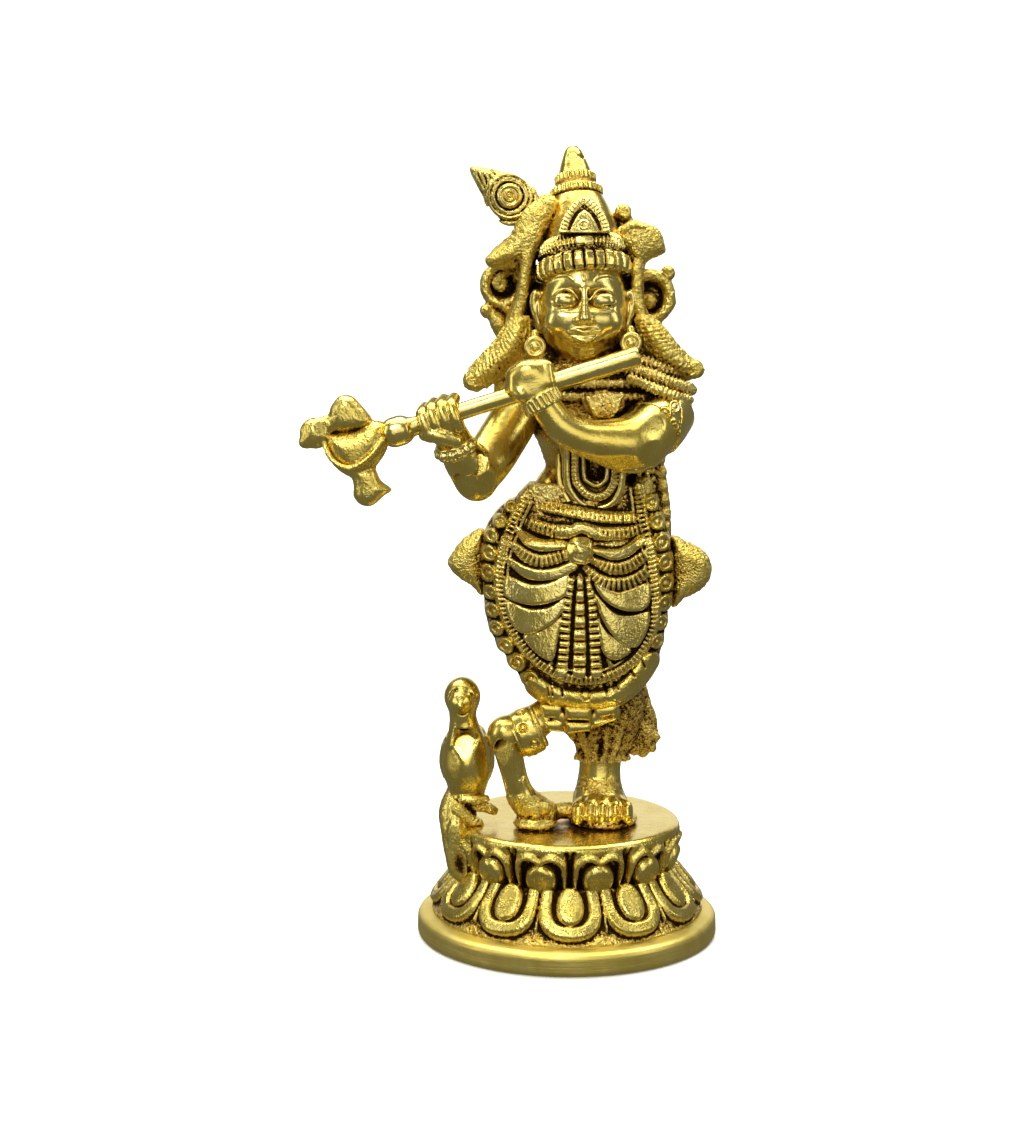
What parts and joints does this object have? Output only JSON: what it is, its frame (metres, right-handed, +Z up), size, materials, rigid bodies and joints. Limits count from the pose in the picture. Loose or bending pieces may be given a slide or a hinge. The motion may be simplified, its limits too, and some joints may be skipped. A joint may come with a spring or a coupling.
{
  "type": "deity statuette",
  "caption": "Cast brass statuette of a flute-playing deity in a tall crown, cross-legged on a two-tier lotus pedestal with a small bird, flat round base.",
  "frame": {"origin": "centre of the pedestal's flat underside", "axes": "+Z up along the pedestal's axis, the figure faces -Y, +X towards the figure's left shoulder"},
  "size_m": [0.0651, 0.048, 0.1242],
  "materials": {
    "brass": "antique cast brass with dark patina in the recesses",
    "bright_brass": "filed and polished brass with dark patina in the recesses",
    "dark_brass": "rough punched brass, mostly dark patina",
    "turned_brass": "lathe-turned and brushed brass"
  },
  "bodies": {
    "root": {"base_plate": "turned_brass", "lower_lotus_tier": "brass", "upper_lotus_tier": "brass", "standing_leg": "brass", "bent_leg": "brass", "knee_cuff": "brass", "dhoti_wrap": "dark_brass", "torso": "brass", "apron": "brass", "waist_belt": "bright_brass", "belt_clasp": "bright_brass", "apron_hem": "brass", "hip_bow_left": "brass", "hip_bow_right": "brass", "hanging_sash": "dark_brass", "side_garland": "brass", "collar": "bright_brass", "long_garland": "bright_brass", "left_arm": "brass", "right_arm": "brass", "left_armband": "bright_brass", "left_bracelet": "bright_brass", "right_bracelet": "bright_brass", "flute": "bright_brass", "flute_parrot": "brass", "head": "bright_brass", "earrings": "bright_brass", "crown_band": "bright_brass", "crown_cap": "brass", "crown_plaque": "bright_brass", "peacock_feather": "bright_brass", "hair_back": "dark_brass", "veil_left": "dark_brass", "veil_right": "dark_brass", "braid_left": "brass", "braid_right": "brass", "scroll_left": "brass", "scroll_right": "brass", "standing_bird": "brass", "bird_tail": "brass"}
  },
  "joints": []
}
